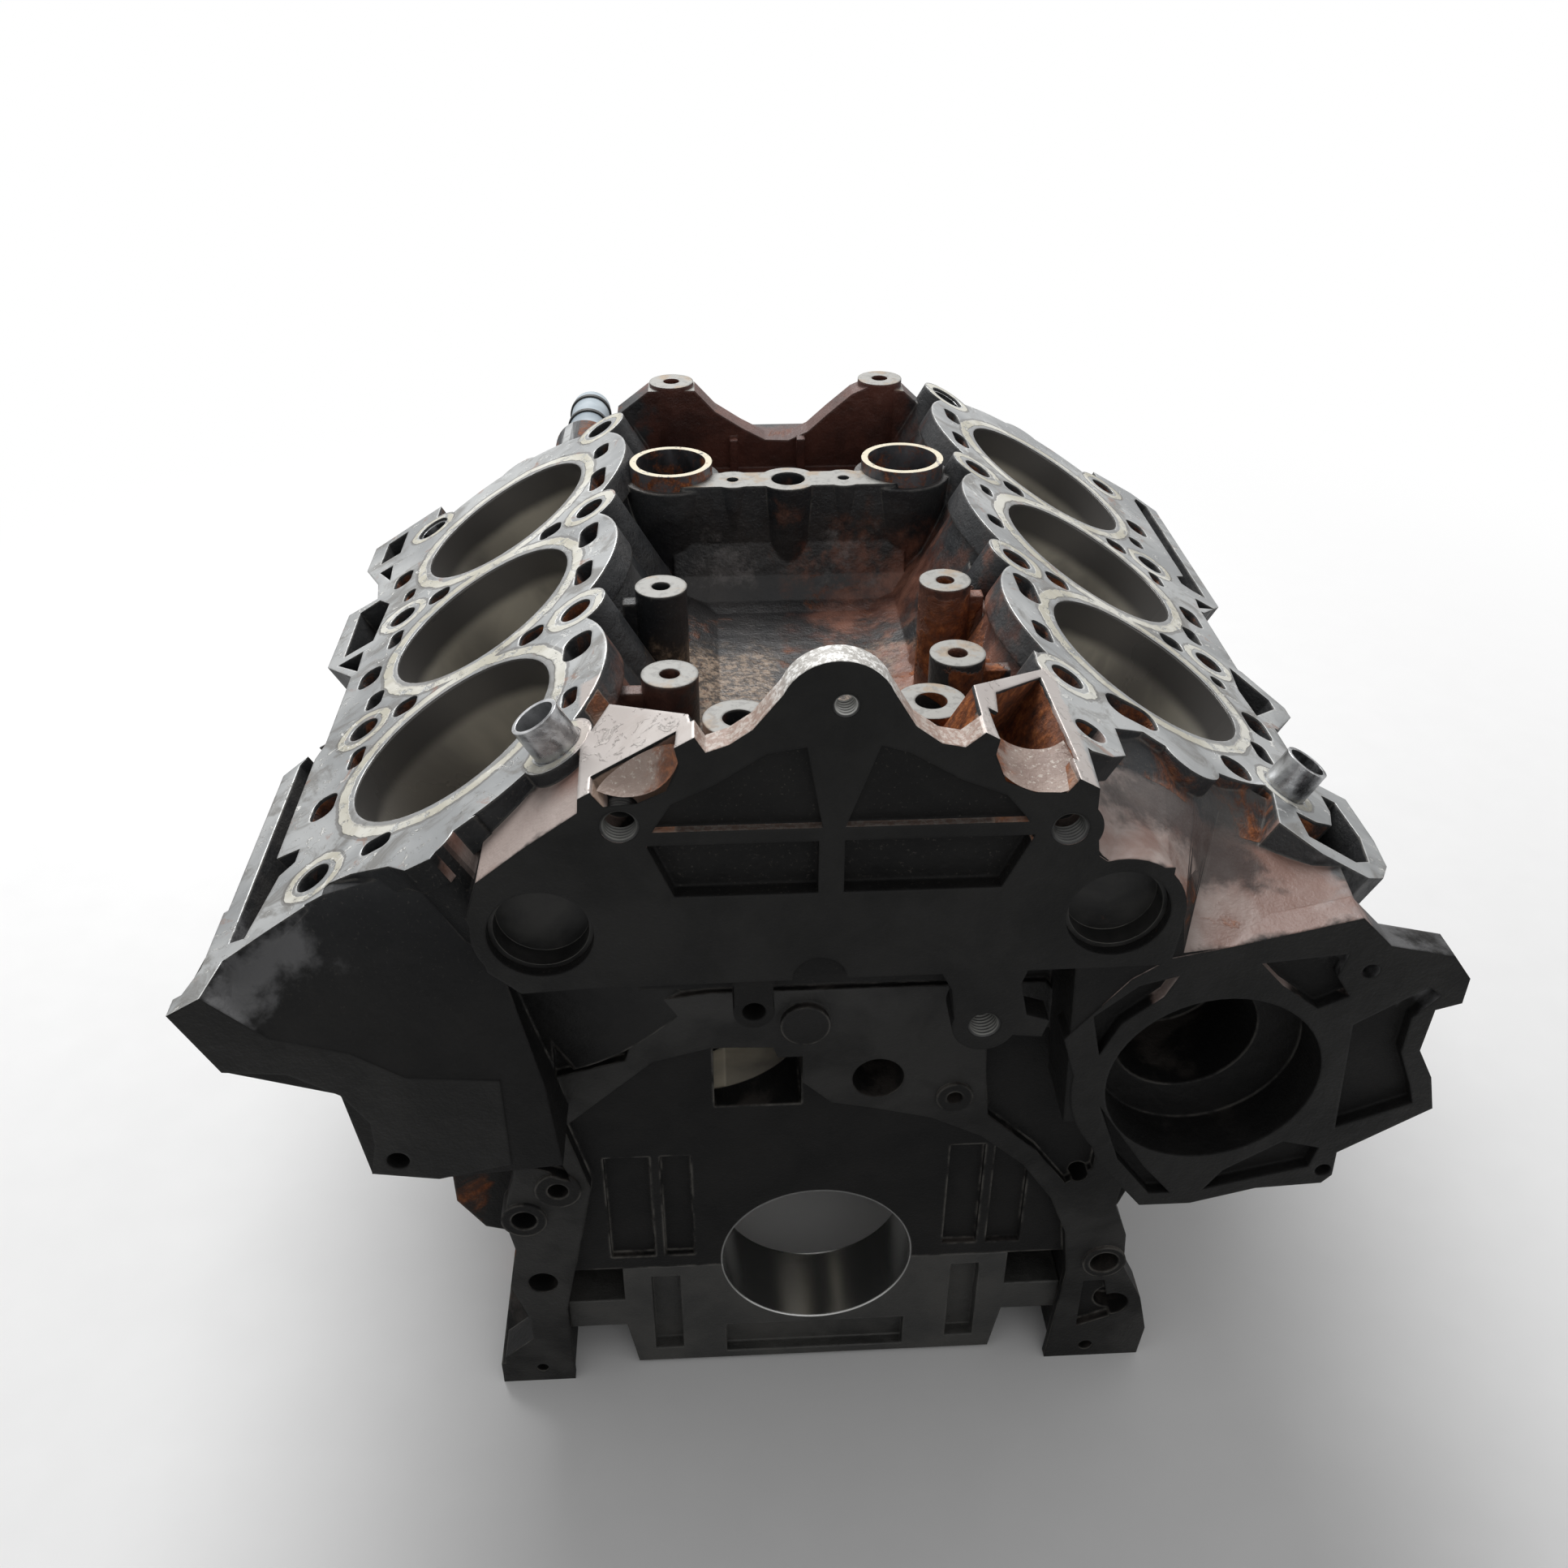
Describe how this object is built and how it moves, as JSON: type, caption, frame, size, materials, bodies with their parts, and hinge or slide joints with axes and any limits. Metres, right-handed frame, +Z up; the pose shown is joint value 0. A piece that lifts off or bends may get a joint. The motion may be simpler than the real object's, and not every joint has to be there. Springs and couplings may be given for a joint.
{
  "type": "engine block",
  "caption": "Bare cast iron vee engine block with open crankcase, bolted main caps, core plugs, head dowels, machined head faces and a water pump flange.",
  "frame": {"origin": "crankshaft axis at the front face of the front main bearing", "axes": "+X right seen from the front, +Y along the crankshaft to the rear, +Z up; the block stands on its sump face"},
  "size_m": [0.4336, 0.4208, 0.365],
  "materials": {
    "cast_iron_block": "bare dark casting with machined pale grey faces, rust in the pockets and grey bores",
    "cast_iron_caps": "dull oily casting, machined joint faces",
    "bolt_steel": "dark oiled steel",
    "plug_steel": "dull pressed sheet steel",
    "dowel_steel": "bright rolled steel with dark stains",
    "sleeve_steel": "steel sleeve with a cream rim and stained inside",
    "pipe_grey": "blue-grey moulded stub",
    "seal_rubber": "black ring"
  },
  "bodies": {
    "root": {"cylinder_block": "cast_iron_block", "main_cap_1": "cast_iron_caps", "main_cap_2": "cast_iron_caps", "main_cap_3": "cast_iron_caps", "main_cap_4": "cast_iron_caps", "main_cap_bolts": "bolt_steel", "cap_side_bolts": "bolt_steel", "front_core_plug_left": "plug_steel", "rear_core_plug_left": "plug_steel", "side_core_plugs_left": "plug_steel", "head_dowel_left": "dowel_steel", "valley_sleeve_left": "sleeve_steel", "front_core_plug_right": "plug_steel", "rear_core_plug_right": "plug_steel", "side_core_plugs_right": "plug_steel", "head_dowel_right": "dowel_steel", "valley_sleeve_right": "sleeve_steel", "head_ring_dowels": "dowel_steel", "side_pipe": "pipe_grey", "side_pipe_seals": "seal_rubber"}
  },
  "joints": []
}
